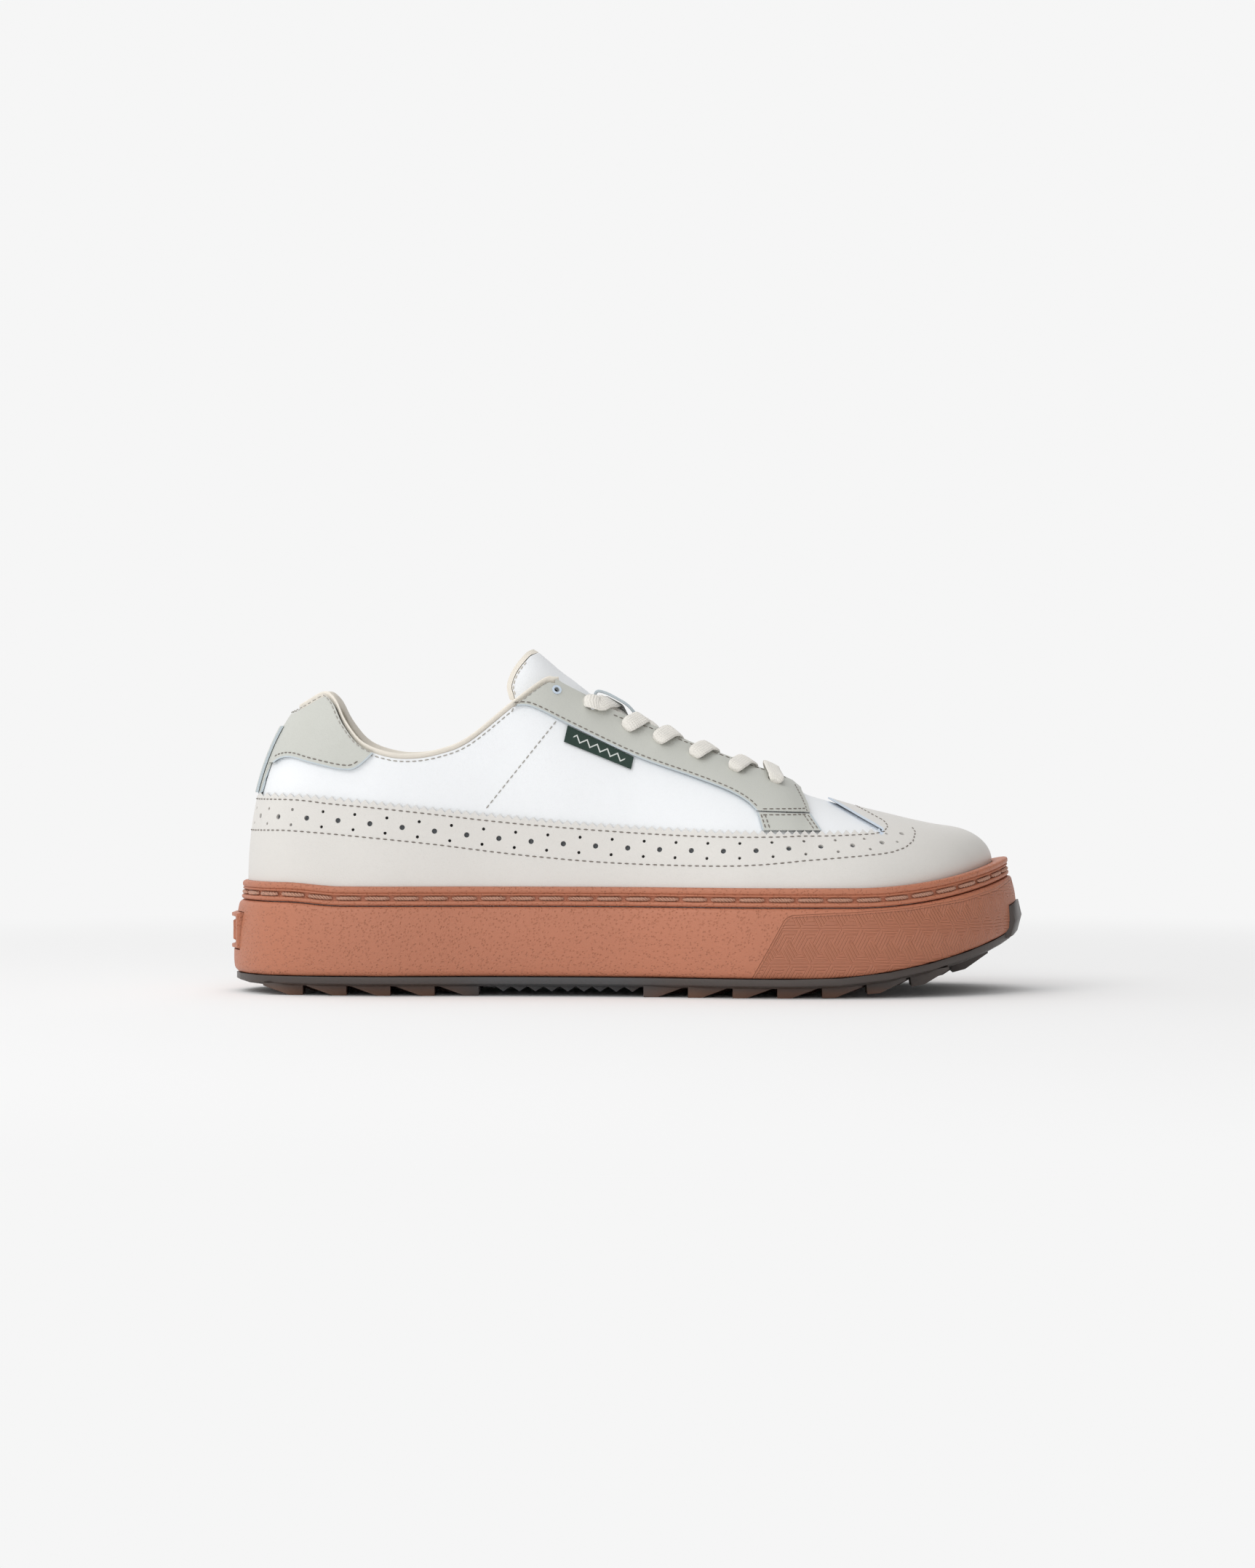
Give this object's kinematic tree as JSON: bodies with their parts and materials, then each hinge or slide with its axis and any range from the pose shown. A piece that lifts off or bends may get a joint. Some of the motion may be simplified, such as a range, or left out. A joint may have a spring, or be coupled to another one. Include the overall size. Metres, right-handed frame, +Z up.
{
  "type": "golf shoe",
  "caption": "Low lace-up golf shoe for the right foot: leather upper with a perforated pinked wing overlay, on a stitched rubber cupsole and a lugged outsole.",
  "frame": {"origin": "on the ground under the middle of the bounding box", "axes": "+X towards the toe, +Y towards the medial side (left of this right shoe), +Z up"},
  "size_m": [0.305, 0.11, 0.1309],
  "materials": {
    "outsole_rubber": "dark translucent rubber, satin",
    "cupsole_rubber": "gum-brown moulded rubber with a fine leather grain",
    "midsole_foam": "open-cell foam, matt",
    "thread": "waxed light-brown twisted thread",
    "board": "non-woven board, matt",
    "lining_fabric": "fine cream lining cloth",
    "white_leather": "smooth full-grain leather, semi-matt",
    "grey_leather": "smooth light-grey leather, semi-matt",
    "sage_leather": "smooth grey-green leather, semi-matt",
    "cream_binding": "thin rolled cream binding",
    "stiffener": "thermoformed stiffener sheet",
    "lace_cotton": "flat woven cream cotton",
    "label_fabric": "dark green woven label, plain"
  },
  "bodies": {
    "root": {"outsole": "outsole_rubber", "cupsole": "cupsole_rubber", "heel_badge": "cupsole_rubber", "midsole_core": "midsole_foam", "welt": "cupsole_rubber", "welt_thread": "thread", "strobel_board": "board", "sockliner": "lining_fabric", "vamp": "white_leather", "quarter_lateral": "white_leather", "quarter_medial": "white_leather", "vamp_lining": "lining_fabric", "heel_lining": "lining_fabric", "quarter_lining_lateral": "lining_fabric", "quarter_lining_medial": "lining_fabric", "collar_foam": "midsole_foam", "heel_counter": "stiffener", "toe_puff": "stiffener", "wing_overlay": "grey_leather", "eyestay": "sage_leather", "eyestay_leg_lateral": "sage_leather", "eyestay_leg_medial": "sage_leather", "heel_tab": "sage_leather", "backstay_strip": "sage_leather", "topline_binding": "cream_binding", "lace": "lace_cotton"},
    "tongue": {"tongue": "white_leather", "tongue_foam": "midsole_foam", "tongue_lining": "lining_fabric", "tongue_binding": "cream_binding", "lace_keeper": "sage_leather"},
    "label": {"side_label": "label_fabric"}
  },
  "joints": [
    {"name": "tongue_hinge", "type": "hinge", "parent": "root", "child": "tongue", "pos_m": [0.066, 0, 0.0704], "axis": [0, -1, 0], "range_deg": [0, 0.6]},
    {"name": "label_flap", "type": "hinge", "parent": "root", "child": "label", "pos_m": [-0.0227, -0.02412, 0.1021], "axis": [-0.9021, 0.0165, 0.4313], "range_deg": [0, 75]}
  ]
}
